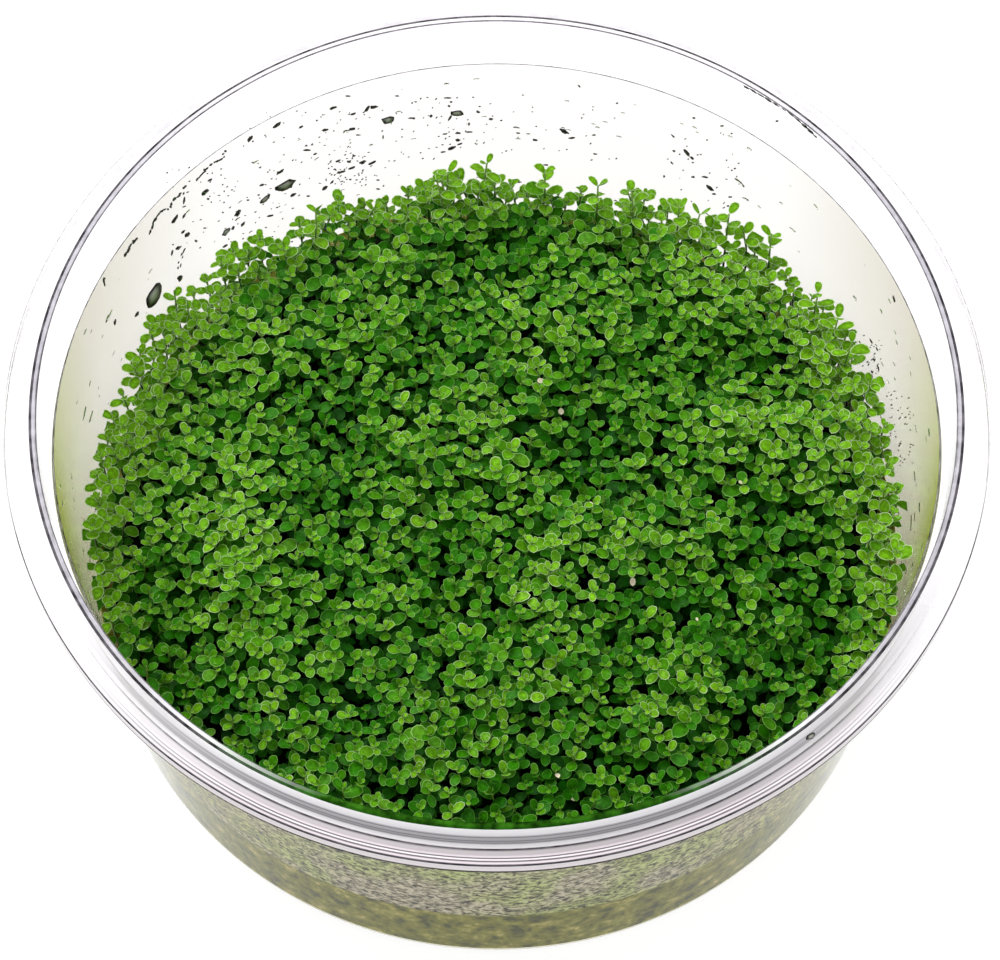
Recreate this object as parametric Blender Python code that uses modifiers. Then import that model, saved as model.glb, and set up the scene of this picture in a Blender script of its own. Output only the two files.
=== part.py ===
"""Dwarf baby tears on nutrient gel, a low green carpet in a clear round culture cup.

Metres, +Z up. The origin is the middle of the face that the cup rests on,
and -Y is the side of the cup that faces the viewer.
"""
import random
from math import atan, atan2, cos, degrees, hypot, pi, radians, sin, sqrt, tau

import bmesh
import bpy
from mathutils import Matrix, Vector
from mathutils.bvhtree import BVHTree

# Cup: heights are from the face it rests on, and drops are from the top of the lip
CUP_HEIGHT = 0.0480
LIP_INNER_RADIUS = 0.0492
LIP_OUTER_RADIUS = 0.0498
LIP_FOOT_RADIUS = 0.0507
GROOVE_DROP = 0.0025
BEAD_DROP = 0.00205
BEAD_WIDTH = 0.0006
BEAD_SLOPE = 0.0003
FLANGE_RADIUS = 0.0525
FLANGE_THICKNESS = 0.0010
BAND_RADIUS = 0.0494
BAND_DROP = 0.0072
BAND_SLOPE = 0.0002
LEDGE_DROP = 0.0068
LEDGE_OUTER_RADIUS = 0.0484
LEDGE_INNER_RADIUS = 0.0475
WALL_THICKNESS = 0.0007
WALL_FOOT_RADIUS = 0.0449
WALL_FOOT_HEIGHT = 0.0030
OUTER_CORNER = 0.0022
INNER_CORNER = 0.0018
FLOOR_HEIGHT = 0.0015
FOOT_RING_INNER_RADIUS = 0.0380
RECESS_DEPTH = 0.0006
ROUND_STEPS = 48
SHARP_ANGLE = radians(30)

# Gel, and the clearance between pieces that touch
GEL_TOP = 0.0143
MENISCUS_RISE = 0.0006
MENISCUS_WIDTH = 0.0018
CLEARANCE = 0.0003

# Mounds, the leafy bodies of the plants
CARPET_RADIUS = 0.0450
CARPET_HEIGHT = 0.0261
CARPET_EDGE_DROP = 0.0042
CARPET_FALL_POWER = 2.2
WALL_CLEARANCE = 0.0004
FAR_STANDOFF = 0.0021
WALL_FACET = 8
WALL_FACET_TURNS = (-12, -4, 4, 12)
PLANT_RINGS = ((1, 0.0, 0.0), (6, 0.0188, 12.0), (12, 0.0365, 0.0))
SITE_JITTER = 0.0011
MOUND_RADIUS = 0.0220
MOUND_JITTER = 0.0005
SEED = 11

# Leaf whorls, each of two crossed pairs and somewhat larger than life
WHORL_COUNT = 114
WHORL_CIRCLE_RADIUS = 0.0422
WHORL_JITTER = 0.0004
WHORL_LEAN = 0.20
WHORL_SPREAD = 0.30
WHORL_STAND = 0.0014
GOLDEN_ANGLE = radians(137.508)
STALK_RADIUS = 0.0007
STALK_DEPTH = 0.0040
STALK_ROOM = 0.0011
LEAF_REACH = 0.0029
LEAF_TIP_ANGLE = radians(25)
LEAF_NOTCH = 0.42
LEAF_RISE = 0.0009
LEAF_THICKNESS = 0.0005

# Tall sprigs that stand up along the far edge
SPRIG_BEARINGS = (52, 64, 75, 84, 94, 103, 113, 126)
SPRIG_CIRCLE_RADIUS = 0.0405
SPRIG_FOOT_DEPTH = 0.0030
SPRIG_TOP_HEIGHT = 0.0300
SPRIG_SIDE_DROP = 0.0022
SPRIG_LEAN = 0.0008
SPRIG_RADIUS = 0.00035
SPRIG_PAIRS = 3
SPRIG_PAIR_SPACING = 0.0021
SPRIG_LEAF_REACH = 0.0022
SPRIG_ROOM = 0.0030


def clear_scene():
    for old in list(bpy.data.objects):
        bpy.data.objects.remove(old)


def new_collection(name):
    made = bpy.data.collections.new(name)
    bpy.context.scene.collection.children.link(made)
    return made


def linear(value):
    """One channel of an sRGB colour, from 0 to 255, as the shader wants it."""
    share = value / 255
    return share / 12.92 if share <= 0.04045 else ((share + 0.055) / 1.055) ** 2.4


def finish(name, srgb, roughness, transmission=0.0, ior=1.45):
    made = bpy.data.materials.new(name)
    made.use_nodes = True
    shader = made.node_tree.nodes["Principled BSDF"]
    shader.inputs["Base Color"].default_value = (*(linear(value) for value in srgb), 1.0)
    shader.inputs["Roughness"].default_value = roughness
    shader.inputs["Metallic"].default_value = 0.0
    shader.inputs["Transmission Weight"].default_value = transmission
    shader.inputs["IOR"].default_value = ior
    return made


def clear_polystyrene():
    return finish("clear_polystyrene", (240, 243, 240), 0.08, transmission=0.9, ior=1.59)


def agar_gel():
    return finish("agar_gel", (176, 172, 118), 0.25, transmission=0.5, ior=1.34)


def leaf_green():
    return finish("leaf_green", (66, 116, 28), 0.45)


def add_object(name, mesh, material, collection):
    made = bpy.data.objects.new(name, mesh)
    mesh.materials.append(material)
    collection.objects.link(made)
    return made


def turned(name, profile, material, collection):
    """A solid turned about Z from (radius, height) points that end down its outer side."""
    mesh = bpy.data.meshes.new(name + "_profile")
    points = [(radius, 0.0, height) for radius, height in profile]
    mesh.from_pydata(points, [(i, i + 1) for i in range(len(points) - 1)], [])
    made = add_object(name, mesh, material, collection)
    screw = made.modifiers.new("turn", "SCREW")
    screw.axis = "Z"
    screw.steps = ROUND_STEPS
    screw.render_steps = ROUND_STEPS
    screw.use_merge_vertices = True
    screw.merge_threshold = 0.00001
    evaluated = made.evaluated_get(bpy.context.evaluated_depsgraph_get())
    solid = bpy.data.meshes.new_from_object(evaluated)
    solid.shade_smooth()
    solid.set_sharp_from_angle(angle=SHARP_ANGLE)
    made.modifiers.clear()
    made.data = solid


def arc(centre, radius, start, end, steps):
    """Points on an arc, from one angle in degrees to another."""
    angles = [radians(start + (end - start) * i / steps) for i in range(steps + 1)]
    return [(centre[0] + radius * cos(a), centre[1] + radius * sin(a)) for a in angles]


def wall_inner_radius(height):
    """Radius of the inside of the tapered wall."""
    top = CUP_HEIGHT - LEDGE_DROP
    foot = WALL_FOOT_RADIUS - WALL_THICKNESS
    share = (height - WALL_FOOT_HEIGHT) / (top - WALL_FOOT_HEIGHT)
    return foot + (LEDGE_INNER_RADIUS - foot) * share


def cup(collection):
    """Tub with a tapered wall, a ledge for a lid, a beaded flange and a foot ring."""
    corner_height = FLOOR_HEIGHT + INNER_CORNER
    corner_radius = wall_inner_radius(corner_height) - INNER_CORNER
    ledge = CUP_HEIGHT - LEDGE_DROP
    groove = CUP_HEIGHT - GROOVE_DROP
    bead = CUP_HEIGHT - BEAD_DROP
    under = bead - FLANGE_THICKNESS
    band = CUP_HEIGHT - BAND_DROP
    profile = [(0.0, FLOOR_HEIGHT)]
    profile += arc((corner_radius, corner_height), INNER_CORNER, -90, 0, 2)
    profile += [
        (LEDGE_INNER_RADIUS, ledge),
        (LEDGE_OUTER_RADIUS, ledge),
        (LIP_INNER_RADIUS, CUP_HEIGHT),
        (LIP_OUTER_RADIUS, CUP_HEIGHT),
        (LIP_FOOT_RADIUS, groove),
        (FLANGE_RADIUS - BEAD_WIDTH - BEAD_SLOPE, groove),
        (FLANGE_RADIUS - BEAD_WIDTH, bead),
        (FLANGE_RADIUS, bead),
        (FLANGE_RADIUS, under),
        (BAND_RADIUS, under - BAND_SLOPE),
        (BAND_RADIUS, band),
        (LEDGE_INNER_RADIUS + WALL_THICKNESS, band - BAND_SLOPE),
    ]
    profile += arc((WALL_FOOT_RADIUS - OUTER_CORNER, OUTER_CORNER), OUTER_CORNER, 0, -90, 2)
    profile += [
        (FOOT_RING_INNER_RADIUS, 0.0),
        (FOOT_RING_INNER_RADIUS - RECESS_DEPTH, RECESS_DEPTH),
        (0.0, RECESS_DEPTH),
    ]
    turned("cup", profile, clear_polystyrene(), collection)


def nutrient_gel(collection):
    """Disc of set gel that fills the bottom of the cup, a little higher where it wets the wall."""
    foot = FLOOR_HEIGHT + CLEARANCE
    foot_radius = wall_inner_radius(foot + INNER_CORNER) - CLEARANCE
    rim = GEL_TOP + MENISCUS_RISE
    rim_radius = wall_inner_radius(rim) - CLEARANCE
    profile = [
        (0.0, GEL_TOP),
        (rim_radius - MENISCUS_WIDTH, GEL_TOP),
        (rim_radius, rim),
        (foot_radius, foot + INNER_CORNER),
        (foot_radius - INNER_CORNER, foot),
        (0.0, foot),
    ]
    turned("nutrient_gel", profile, agar_gel(), collection)


def on_circle(radius, angle):
    return Vector((radius * cos(angle), radius * sin(angle)))


def scatter(rng, amount):
    """A small random shift across the carpet."""
    return Vector((rng.uniform(-1, 1), rng.uniform(-1, 1))) * amount


def plant_sites(rng):
    """Middles of the plants: one, six and twelve in rings, each a little out of place."""
    sites = []
    for count, radius, turn in PLANT_RINGS:
        for i in range(count):
            bearing = radians(turn) + tau * i / count
            sites.append(on_circle(radius, bearing) + scatter(rng, SITE_JITTER))
    return sites


def carpet_height(x, y):
    """Height of the mounds, highest in the middle of the cup and lower at its wall."""
    share = min(hypot(x, y) / CARPET_RADIUS, 1.0)
    return CARPET_HEIGHT - CARPET_EDGE_DROP * share ** CARPET_FALL_POWER


def sides_to_neighbours(site, sites):
    """Upright planes halfway to every other plant, each as a point and its outward direction."""
    planes = []
    for other in sites:
        if other is not site:
            outward = (other - site).normalized()
            point = (site + other) / 2 - outward * CLEARANCE / 2
            planes.append((point.to_3d(), outward.to_3d()))
    return planes


def sides_to_wall(site):
    """Planes that keep an outer plant off the tapered wall, further off on the far side."""
    taper = atan((wall_inner_radius(0.03) - wall_inner_radius(0.02)) / 0.01)
    planes = []
    for turn in WALL_FACET_TURNS:
        angle = radians(degrees(atan2(site.y, site.x)) + turn)
        standoff = WALL_CLEARANCE + FAR_STANDOFF * max(sin(angle), 0) ** 4
        reach = (wall_inner_radius(GEL_TOP) - standoff) * cos(radians(WALL_FACET / 2))
        outward = Vector((cos(taper) * cos(angle), cos(taper) * sin(angle), -sin(taper)))
        planes.append((Vector((*on_circle(reach, angle), GEL_TOP)), outward))
    return planes


def plant_sides(site, sites):
    is_outer = site.length > CARPET_RADIUS / 2
    return sides_to_neighbours(site, sites) + (sides_to_wall(site) if is_outer else [])


def cut_away(body, point, outward):
    """Takes off what lies beyond a plane and closes the cut."""
    everything = body.verts[:] + body.edges[:] + body.faces[:]
    bmesh.ops.bisect_plane(
        body, geom=everything, dist=1e-6, plane_co=point, plane_no=outward, clear_outer=True)
    bmesh.ops.holes_fill(body, edges=[edge for edge in body.edges if edge.is_boundary], sides=0)


def mound(site, sides, rng):
    """The leafy body of one plant, domed on top and cut flat where its neighbours begin."""
    body = bmesh.new()
    foot = GEL_TOP + MENISCUS_RISE + CLEARANCE
    turn = Matrix.Rotation(rng.uniform(0, tau), 4, "Z")
    bmesh.ops.create_icosphere(body, subdivisions=3, radius=1.0, matrix=turn)
    for vert in body.verts:
        x = site.x + vert.co.x * MOUND_RADIUS
        y = site.y + vert.co.y * MOUND_RADIUS
        rise = vert.co.z * (carpet_height(x, y) - foot)
        vert.co = Vector((x, y, foot + rise + rng.uniform(-1, 1) * MOUND_JITTER))
    cut_away(body, Vector((0, 0, foot)), Vector((0, 0, -1)))
    for point, outward in sides:
        cut_away(body, point, outward)
    bmesh.ops.recalc_face_normals(body, faces=body.faces)
    return body


def place_at(point, direction, spin):
    """Places a piece at a point with its own Z along a direction."""
    turn = direction.to_track_quat("Z", "Y").to_matrix().to_4x4()
    return Matrix.Translation(point) @ turn @ Matrix.Rotation(spin, 4, "Z")


def leaf_rim(corner, leaf_count, reach):
    """A rim point of a group of leaves: two at each blunt tip and one in the notch after it."""
    step = tau / leaf_count
    leaf, part = divmod(corner, 3)
    angle = leaf * step + (-LEAF_TIP_ANGLE, LEAF_TIP_ANGLE, step / 2)[part]
    out = (1.0, 1.0, LEAF_NOTCH)[part]
    upper_pair = 0.6 if leaf % 2 else 0.0
    return Vector((*on_circle(reach * out, angle), LEAF_RISE * (out - LEAF_NOTCH + upper_pair)))


def add_pair(forms, place, reach):
    """Two opposite leaves, as one thin dished lens."""
    made = bmesh.ops.create_uvsphere(forms, u_segments=6, v_segments=2, radius=1.0)["verts"]
    for vert in made:
        if abs(vert.co.z) < 0.5:
            vert.co = leaf_rim(round(atan2(vert.co.y, vert.co.x) / (tau / 6)), 2, reach)
        else:
            vert.co = Vector((0, 0, min(vert.co.z, 0) * LEAF_THICKNESS))
    bmesh.ops.transform(forms, matrix=place, verts=made)


def add_crossed_pairs(forms, place, reach):
    """Two crossed pairs of leaves over a four-sided stalk that tapers down to a point."""
    made = bmesh.ops.create_uvsphere(forms, u_segments=12, v_segments=3, radius=1.0)["verts"]
    for vert in made:
        corner = round(atan2(vert.co.y, vert.co.x) / (tau / 12))
        if vert.co.z > 0.9:
            vert.co = Vector((0, 0, 0))
        elif vert.co.z > 0:
            vert.co = leaf_rim(corner, 4, reach)
        elif vert.co.z > -0.9:
            angle = round((corner - 0.5) / 3) * tau / 4 + LEAF_TIP_ANGLE
            vert.co = Vector((*on_circle(STALK_RADIUS, angle), -LEAF_THICKNESS))
        else:
            vert.co = Vector((0, 0, -STALK_DEPTH))
    bmesh.ops.transform(forms, matrix=place, verts=made)
    bmesh.ops.remove_doubles(forms, verts=made, dist=1e-6)


def stalk_spot(spot, sides):
    """A place moved in from the plant's sides, so that a stalk there stays within the mound."""
    moved = Vector((spot.x, spot.y, carpet_height(spot.x, spot.y)))
    for point, outward in sides:
        room = (point - moved).dot(outward)
        moved -= outward * max(STALK_ROOM - room, 0.0)
    return moved.xy


def add_whorl(forms, site, spot, ground, rng):
    """A whorl that stands on the mound and leans out from the plant's middle."""
    above = Vector((spot.x, spot.y, CUP_HEIGHT))
    point = ground.ray_cast(above, Vector((0, 0, -1)))[0]
    lean = scatter(rng, WHORL_LEAN) + (spot - site) / MOUND_RADIUS * WHORL_SPREAD
    direction = (lean.to_3d() + Vector((0, 0, 1))).normalized()
    place = place_at(point + direction * WHORL_STAND, direction, rng.uniform(0, tau))
    add_crossed_pairs(forms, place, LEAF_REACH * rng.uniform(0.88, 1.0))


def add_tall_sprig(forms, spot, rng):
    """A stem that stands above the carpet with pairs of leaves, each turned across the last."""
    foot = Vector((spot.x, spot.y, GEL_TOP + SPRIG_FOOT_DEPTH))
    top = foot + scatter(rng, SPRIG_LEAN).to_3d()
    top.z = SPRIG_TOP_HEIGHT - SPRIG_SIDE_DROP * abs(spot.x) / spot.length
    direction = (top - foot).normalized()
    spin = rng.uniform(0, pi)
    for i in range(SPRIG_PAIRS):
        place = place_at(top - direction * SPRIG_PAIR_SPACING * i, direction, spin + i * pi / 2)
        add_pair(forms, place, SPRIG_LEAF_REACH * (0.7 + 0.15 * i))
    length = (top - foot).length - LEAF_THICKNESS / 2
    stem = bmesh.ops.create_cone(
        forms, cap_ends=True, segments=3, radius1=SPRIG_RADIUS, radius2=SPRIG_RADIUS, depth=length)
    place = place_at(foot + direction * length / 2, direction, 0.0)
    bmesh.ops.transform(forms, matrix=place, verts=stem["verts"])


def mesh_from(shape, name):
    mesh = bpy.data.meshes.new(name)
    shape.to_mesh(mesh)
    shape.free()
    return mesh


def plant(name, site, sides, spots, sprigs, material, rng, objects, forms):
    """One plant: its mound with every whorl and tall sprig joined to it."""
    body = mound(site, sides, rng)
    ground = BVHTree.FromBMesh(body)
    leaves = bmesh.new()
    for spot in spots:
        add_whorl(leaves, site, stalk_spot(spot, sides), ground, rng)
    for spot in sprigs:
        add_tall_sprig(leaves, spot, rng)
    joined = add_object(name + "_leaves", mesh_from(leaves, name + "_leaves"), material, forms)
    joined.hide_render = True
    joined.display_type = "WIRE"
    made = add_object(name, mesh_from(body, name), material, objects)
    union = made.modifiers.new("leaves", "BOOLEAN")
    union.operation = "UNION"
    union.solver = "EXACT"
    union.use_self = True
    union.object = joined


def nearest(sites, spot):
    return min(sites, key=lambda site: (site - spot).length)


def whorl_spots(rng, sprigs):
    """Places for the whorls, spiralling out evenly and leaving room for the tall sprigs."""
    spots = []
    for i in range(WHORL_COUNT):
        radius = WHORL_CIRCLE_RADIUS * sqrt((i + 0.5) / WHORL_COUNT)
        spot = on_circle(radius, i * GOLDEN_ANGLE) + scatter(rng, WHORL_JITTER)
        if all((spot - sprig).length > SPRIG_ROOM for sprig in sprigs):
            spots.append(spot)
    return spots


def plants(objects, forms):
    rng = random.Random(SEED)
    sites = plant_sites(rng)
    sprigs = [on_circle(SPRIG_CIRCLE_RADIUS, radians(bearing)) for bearing in SPRIG_BEARINGS]
    spots = whorl_spots(rng, sprigs)
    material = leaf_green()
    for i, site in enumerate(sites):
        own_spots = [spot for spot in spots if nearest(sites, spot) is site]
        own_sprigs = [spot for spot in sprigs if nearest(sites, spot) is site]
        sides = plant_sides(site, sites)
        name = f"plant_{i + 1:02d}"
        plant(name, site, sides, own_spots, own_sprigs, material, rng, objects, forms)


def main():
    clear_scene()
    objects = new_collection("dwarf_baby_tears")
    forms = new_collection("joined_forms")
    cup(objects)
    nutrient_gel(objects)
    plants(objects, forms)


main()
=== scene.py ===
"""Dwarf baby tears on nutrient gel in a clear round culture cup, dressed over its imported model.

Metres, +Z up. The origin is the middle of the face that the cup rests on,
and -Y is the side of the cup that faces the viewer.
"""
from math import atan2, cos, degrees, hypot, radians, sin, sqrt, tau

import bpy
import numpy as np
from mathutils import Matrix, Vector, noise


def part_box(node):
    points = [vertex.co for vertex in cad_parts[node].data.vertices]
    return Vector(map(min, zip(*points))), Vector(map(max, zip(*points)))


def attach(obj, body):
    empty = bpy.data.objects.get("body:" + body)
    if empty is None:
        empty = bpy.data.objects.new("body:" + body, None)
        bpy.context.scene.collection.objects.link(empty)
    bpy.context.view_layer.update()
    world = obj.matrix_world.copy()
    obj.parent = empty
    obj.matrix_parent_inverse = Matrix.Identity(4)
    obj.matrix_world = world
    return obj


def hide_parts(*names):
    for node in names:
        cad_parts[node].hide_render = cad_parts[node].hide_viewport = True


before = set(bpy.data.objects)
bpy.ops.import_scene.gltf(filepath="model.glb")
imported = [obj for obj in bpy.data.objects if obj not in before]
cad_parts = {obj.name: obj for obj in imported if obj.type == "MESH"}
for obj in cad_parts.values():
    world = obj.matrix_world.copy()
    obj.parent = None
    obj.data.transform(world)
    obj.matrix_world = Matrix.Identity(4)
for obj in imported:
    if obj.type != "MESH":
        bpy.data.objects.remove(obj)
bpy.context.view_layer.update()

MM = 0.001

# View: the photograph looks down over the near rim
VIEW_ELEVATION = radians(61.56)
VIEW_DISTANCE = 365.9 * MM
VIEW_AIM = Vector((0.36, -10.07, 48.0)) * MM
VIEW_LENS = 126.0
SENSOR_WIDTH = 36.0
PICTURE_SIZE = (1000, 960)
PIXELS = VIEW_LENS / SENSOR_WIDTH * PICTURE_SIZE[0]

# Cup: radius, height and bend of each corner in mm, up the inside and down the outside, and
# the finish of the sheet from there on. The heights and radii are the solid's, and the sheet
# is thin and folded over at its lip
CUP_CORNERS = (
    (0.0, 1.5, 0, "wetted"), (44.6, 1.5, 1.6, "wetted"), (45.596, 14.9, 0, "fogged"),
    (47.55, 41.2, 0.1, "ledge"), (47.68, 41.2, 0, "neck"), (48.4, 41.2, 0.3, "neck"),
    (48.68, 47.88, 0.06, "folded"), (48.80, 48.0, 0.1, "lip"), (49.20, 48.0, 0, "creased"),
    (49.5, 47.95, 0.06, "painted_bands"), (50.21, 45.93, 0, "painted_bands"), (50.38, 45.6, 0, "painted_bands"),
    (50.52, 45.5, 0.05, "hairline"), (50.68, 45.45, 0.05, "ridged"),
    (51.38, 45.45, 0.04, "ridged"), (51.46, 45.62, 0.04, "ridged"),
    (51.86, 45.62, 0.04, "ridged"), (51.94, 45.8, 0.04, "ridged"), (52.38, 45.8, 0.05, "outline"),
    (52.5, 45.6, 0, "painted_bands"), (52.5, 44.45, 0, "edge"), (52.44, 43.9, 0.06, "clear"),
    (52.15, 43.9, 0.08, "clear"), (52.05, 45.0, 0.25, "clear"), (50.25, 45.0, 0.3, "clear"),
    (49.25, 47.55, 0.25, "clear"), (48.98, 47.6, 0.12, "neck"), (48.78, 40.85, 0.3, "neck"),
    (47.85, 40.85, 0.2, "wall"), (44.9, 2.2, 0.9, "wall"), (42.7, 0.0, 0.6, "wall"),
    (38.0, 0.0, 0.2, "wall"), (37.4, 0.6, 0.2, "wall"), (0.0, 0.6, 0, "wall"),
)
# Painted bands down the lip's slope and flange's face by height, and over the flange by
# radius, in mm: white as painted highlight and grey as painted shade, for the reflections
# and refracted shade of the clear sheet there
LIP_PAINTED_BANDS = (
    (44.3, "#ece6e6"), (45.4, "#e6dee2"), (45.55, "#fdfbfd"), (45.85, "#f6f4f6"),
    (45.95, "#b6b4b8"), (46.08, "#969498"), (46.2, "#bebcc0"), (46.32, "#848286"),
    (46.45, "#bcbabe"), (46.7, "#c0bec2"), (46.82, "#88868a"), (46.95, "#c2c0c4"),
    (47.1, "#f0eef2"), (47.6, "#fbfafc"), (47.95, "#ffffff"),
)
FLANGE_PAINTED_BANDS = (
    (50.68, "#8c888a"), (50.85, "#ccc6c8"), (51.2, "#c2babe"), (51.42, "#ece4e8"),
    (51.52, "#dcd4d8"), (51.57, "#6c666a"), (51.66, "#7c767a"), (51.72, "#fff8fc"),
    (51.86, "#e0d8dc"), (51.93, "#6c666a"), (52.06, "#787276"), (52.14, "#dcd2d8"),
    (52.30, "#d8d0d4"), (52.36, "#706a6e"), (52.44, "#787276"),
)
# Creases, painted as broken lines of shade and light: colours in front and behind, each the
# darkest and palest, the share of light let through behind, and the places on Y in mm between
# which the front begins. In front, the lip's two creases are painted the dark green of the
# leaves behind the sheet
CREASES = {
    "creased": ("lip_crease", ("#0a2604", "#2c6414"), ("#2a262c", "#6a666c"), 0.1, -38, -46),
    "folded": ("lip_fold", ("#0a2604", "#2c6414"), ("#5a565c", "#8e8a90"), 0.1, -36, -45),
    "hairline": ("hairline_crease", ("#3c383e", "#7c787e"), ("#f4f2f6", "#fcfafe"), 1.0, -22, -44),
    "outline": ("flange_corner", ("#3c383e", "#6c686e"), ("#f4f2f6", "#fcfafe"), 1.0, -4, -16),
    "edge": ("flange_crease", ("#221e20", "#4c484a"), ("#d8d6da", "#f8f6fa"), 0.9, -14, -36),
    "ledge": ("ledge_crease", ("#5c5c4c", "#8c8c7c"), ("#2c282e", "#a8a4a8"), 0.2, -14, -36),
}
CREASE_CLARITY_AHEAD = 0.05
# Length of the streaks along a crease, in mm
CREASE_BREAK = 1.6
# The sheet is given less than its own 1.59, so that its close faces mirror and darken as
# little of the pale floor as those in the photograph
WALL_IOR = 1.09
RIM_IOR = 1.04
WETTED_IOR = 1.04
# Cones inside the wall, inside the neck and down the lip: radius and height at each end in mm
WALL_INSIDE = (44.6, 1.5, 47.55, 41.2)
NECK_INSIDE = (48.4, 41.2, 48.68, 47.88)
LIP_SLOPE = (50.21, 45.93, 49.5, 47.95)
ROUND_STEPS = 240
CORNER_STEPS = 5
CORNER_SHARE = 0.45

# Gel and the carpet on it. The meniscus's width and the stems' radius and taper are in mm
GEL_FLOOR = 1.6 * MM
GEL_TOP = 14.3 * MM
MENISCUS_RISE = 0.6 * MM
MENISCUS_WIDTH = 1.8
GEL_CLEARANCE = 0.06 * MM
CARPET_TOP = 28.2 * MM
CARPET_EDGE_DROP = 2.6 * MM
CARPET_EDGE_POWER = 2.2
CARPET_RADIUS = 45.0 * MM
FAR_STANDOFF = 2.1 * MM
SPRIG_SPACING = 1.80 * MM
SPRIG_TRIES = 40000
SPRIG_LEAN = 2.2 * MM
SPRIG_UNEVENNESS = 0.75 * MM
MOUND_HEIGHT = 1.8 * MM
MOUND_WIDTH = 11.0 * MM
MOUND_PATCH = Vector((4.7, 1.3, 0.5))
MOUND_GAIN = 1.6
# Painted light: sprigs tinted paler near the carpet's rim, from a share of its radius over a
# width, less in front
EDGE_GLOW = 0.8
EDGE_GLOW_START = 0.82
EDGE_GLOW_WIDTH = 0.18
EDGE_GLOW_FRONT = 0.8
# Painted light and shade: sprigs tinted paler on mounds and darker in hollows
MOUND_LIGHT_AND_SHADE = 0.20
SPRIG_TONE_SPREAD = 0.07
SPRIG_VIGOURS = (0.76, 1.12)
FOOT_DEPTH = 0.4 * MM
FOOT_ROOM = 1.2 * MM
PRESS_ROOM = 0.12 * MM
PRESS_DEPTH = 1.0 * MM
BARE_FOOT = 0.6 * MM
STEM_BOW = 0.35 * MM
STEM_RADIUS = 0.17
STEM_TAPER = 0.07
STEM_SIDES, STEM_RINGS = 4, 5

# Leaf pairs down a stem: how far below the tip, how long, and how far they rise
PAIR_DROPS = (0.15, 0.60, 1.50, 2.90, 4.60, 6.60, 9.00)
LEAF_LENGTHS = (0.75, 1.35, 1.75, 1.85, 1.80, 1.65, 1.45)
LEAF_RISES = (55, 34, 20, 10, 2, -6, -12)
# Tints of the pairs, darker down the stem: partly older leaves, partly painted shade in the carpet
LEAF_TINTS = (0.88, 0.78, 0.62, 0.38, 0.20, 0.09, 0.03)
LEAF_TURN_SPREAD = 0.12
LEAF_RISE_SPREAD = 0.26
LEAF_SIZE_SPREAD = 0.12
LEAF_TINT_SPREAD = 0.09
LEAF_WIDTHS = (0.58, 0.84)
LEAF_FOLDS = (0.05, 0.55)
LEAF_BENDS = (-0.30, 0.10)
LEAF_SEAT = 0.1 * MM
# Form of a leaf, as shares of its length: how much rounder at the tip, where its middle is, how
# far out the margin with its painted highlight starts and rises, and how deep the middle is
# dished above and below
LEAF_ROUNDNESS = 0.2
LEAF_MIDDLE = 0.52
LEAF_MARGIN = 0.8
LEAF_MARGIN_RISE, LEAF_DISH, LEAF_BELLY = 0.018, 0.012, 0.085
UPPER_PAIRS = 4
UPPER_LEAF_POINTS, LOWER_LEAF_POINTS = 10, 6
TALL_PAIR_DROPS = (0.10, 1.60, 3.70, 5.60, 7.40, 9.20, 11.0)
TALL_LEAF_LENGTHS = (1.50, 2.05, 2.15, 2.00, 1.80, 1.60, 1.40)
TALL_LEAF_RISES = (38, 14, 6, 2, 0, -6, -12)
TALL_STEM_LEAN = 3.6 * MM
# Painted light: tall sprigs are tinted paler
TALL_PAINTED_LIGHT = 0.1

# Tips of the tall sprigs along the far edge, as places in the picture
TALL_TIPS = (
    (316, 212), (437, 181), (448, 172), (487, 163), (545, 173), (598, 186), (632, 191),
    (679, 207), (700, 214), (729, 214), (771, 236), (818, 293), (838, 318), (852, 342),
)
TALL_TIP_HEIGHT = 30.3 * MM
TALL_SIDE_DROP = 2.2 * MM
TALL_SIDE_WIDTH = 400

# Leaves that have died back to a pale straw, as places in the picture
DEAD_LEAVES = (
    (540, 380), (558, 410), (588, 460), (735, 485), (678, 745), (625, 585), (422, 502),
    (560, 774), (568, 797), (676, 740), (590, 508), (690, 620),
)
DEAD_LEAF_SIZE = 0.55
DEAD_LEAF_AGE = 1.5
DEAD_LEAF_DEPTH_WEIGHT = 1000

# Condensation drops on the wall: heights and depths in mm, bearings in degrees, the mean and
# spread of the logarithm of a drop's width in mm, and how far and high its shoulder stands
DROP_COUNT = 1200
DROP_HEIGHTS = (15.8, 39.5)
DROP_DEPTHS = (0.05, 0.13)
DROP_BEARING, DROP_BEARING_SPREAD = 270, 38
DROP_WIDTH, DROP_WIDTH_SPREAD = -1.15, 0.45
DROP_FLATNESS = (0.28, 0.6)
DROP_TILT_SPREAD = 0.15
DROP_BEDDING = 0.012 * MM
DROP_SIDES = 8
DROP_SHOULDER = (0.72, 0.7)
# One drop in this many is anywhere round the wall, and the rest are in front
DROP_STRAY_EVERY = 5
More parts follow.
